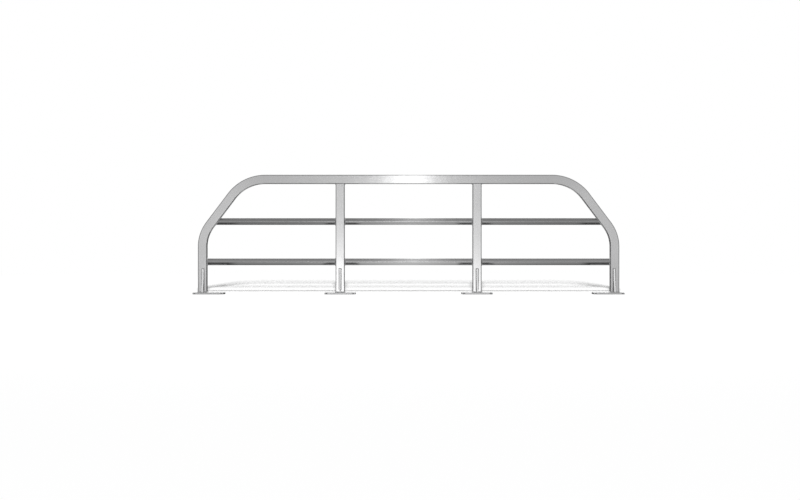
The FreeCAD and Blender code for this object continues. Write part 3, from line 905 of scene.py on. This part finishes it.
def wrap_stops(origin, across, along, up, half, start, length):
    """Round a thin plate's edge: along one side from start, across its end and back."""
    corner_a, corner_b = origin + across * half, origin - across * half
    straight, turn = 10, 8
    places = [start + (length - start) * i / straight for i in range(straight + 1)]
    angles = [PI / 2 * i / turn for i in range(turn + 1)]
    stops = [(corner_a + along * place, across, up) for place in places]
    stops += [(corner_a + along * length, across * math.cos(t) + along * math.sin(t), up)
              for t in angles[1:]]
    stops += [(corner_b + along * length, along * math.cos(t) - across * math.sin(t), up)
              for t in angles]
    stops += [(corner_b + along * place, across * -1, up) for place in places[-2::-1]]
    return stops


def build_foot_welds(steel):
    beads = Beads()
    low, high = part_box("hoop")
    half = (high.y - low.y) / 2
    centres = {"left_leg": low.x + half, "right_leg": high.x - half}
    for side in ("left", "right"):
        near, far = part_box(f"upright_{side}")
        centres[f"{side}_upright"] = (near.x + far.x) / 2
    section = square_section(half, TUBE_CORNER, steps=8, flats=6)[0]
    for name in LEGS:
        stops = [(Vector((centres[name] + a, b, low.z)), Vector((na, nb, 0)), Vector((0, 0, 1)))
                 for a, b, na, nb, _ in section]
        beads.add(stops, FOOT_WELD, closed=True)
    finish_piece("foot_weld_beads", beads.mesh("foot_weld_beads"), steel, "weld_bead", "foot_welds")


def build_gusset_welds(steel):
    """Two beads for each gusset: round its foot on the plate and round its back edge on the tube."""
    beads = Beads()
    across, forward, up = Vector((1, 0, 0)), Vector((0, -1, 0)), Vector((0, 0, 1))
    for name in LEGS:
        low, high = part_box(f"gusset_{name}")
        half = (high.x - low.x) / 2
        origin = Vector(((low.x + high.x) / 2, high.y, low.z))
        for along, wall, length in ((forward, up, high.y - low.y), (up, forward, high.z - low.z)):
            stops = wrap_stops(origin, across, along, wall, half, GUSSET_SNIPE, length)
            beads.add(stops, GUSSET_WELD, closed=False)
    mesh = beads.mesh("gusset_weld_beads")
    finish_piece("gusset_weld_beads", mesh, steel, "weld_bead", "gusset_welds")


def build_rail_welds(steel):
    """A bead round both ends of every rail, thinner where it nears the square tube's corners."""
    beads = Beads()
    for level in ("mid", "low"):
        for place in ("left", "centre", "right"):
            low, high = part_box(f"{level}_rail_{place}")
            radius = (high.z - low.z) / 2
            middle = (low + high) / 2
            for end, facing in ((low.x, 1), (high.x, -1)):
                outer_end = (place == "left" and facing > 0) or (place == "right" and facing < 0)
                slope = facing * math.tan(LEAN) if level == "mid" and outer_end else 0.0
                wall = end + slope * radius
                stops = []
                for i in range(BEAD_STOPS):
                    angle = 2 * PI * i / BEAD_STOPS
                    a, b = math.cos(angle), math.sin(angle)
                    corner = Vector((wall + slope * b * radius, middle.y + a * radius,
                                     middle.z + b * radius))
                    stops.append((corner, Vector((slope * b, a, b)), Vector((facing, 0, 0))))
                beads.add(stops, RAIL_WELD, closed=True, thin=lambda out: 1 - 0.45 * out.y ** 4)
    finish_piece("rail_weld_beads", beads.mesh("rail_weld_beads"), steel, "weld_bead", "rail_welds")


def build_top_welds(steel):
    """A straight bead along each side of an upright's head, under the hoop."""
    beads = Beads()
    steps = 8
    for side in ("left", "right"):
        low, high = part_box(f"upright_{side}")
        reach = (high.y - low.y) / 2 - TUBE_CORNER
        for x, facing in ((low.x, -1), (high.x, 1)):
            stops = [(Vector((x, -reach + 2 * reach * i / steps, high.z)),
                      Vector((facing, 0, 0)), Vector((0, 0, -1))) for i in range(steps + 1)]
            beads.add(stops, TOP_WELD, closed=False)
    mesh = beads.mesh("upright_top_beads")
    finish_piece("upright_top_beads", mesh, steel, "weld_bead", "upright_top_welds")


build_world()
build_floor()
build_key()
build_flag()
build_camera()
bpy.context.scene.view_settings.view_transform = "Standard"
tube_steel = build_steel("polished_tube", shade=0.60, rough=0.08, anisotropy=0.8)
# The mid rails' steel is a darker copy of the low rails' steel: its lower shade is painted shade.
rail_steels = {
    "mid": build_steel("polished_rail_mid_painted_shade", shade=0.50, rough=0.09, anisotropy=0.8),
    "low": build_steel("polished_rail_low", shade=0.60, rough=0.09, anisotropy=0.8),
}
plate_steel = build_steel("polished_plate", shade=0.62, rough=0.16, anisotropy=0.4, metal=0.94)
# sides=0.4 paints shade on the gussets' sides.
gusset_steel = build_steel("brushed_gusset", shade=0.54, rough=0.20, anisotropy=0.4, metal=0.78,
                           sides=0.4)
weld_steel = build_steel("weld_bead", shade=0.54, rough=0.20, anisotropy=0.0, metal=0.955)
build_tubes(tube_steel)
build_rails(rail_steels)
build_plates(plate_steel)
build_gussets(gusset_steel)
build_foot_welds(weld_steel)
build_gusset_welds(weld_steel)
build_rail_welds(weld_steel)
build_top_welds(weld_steel)
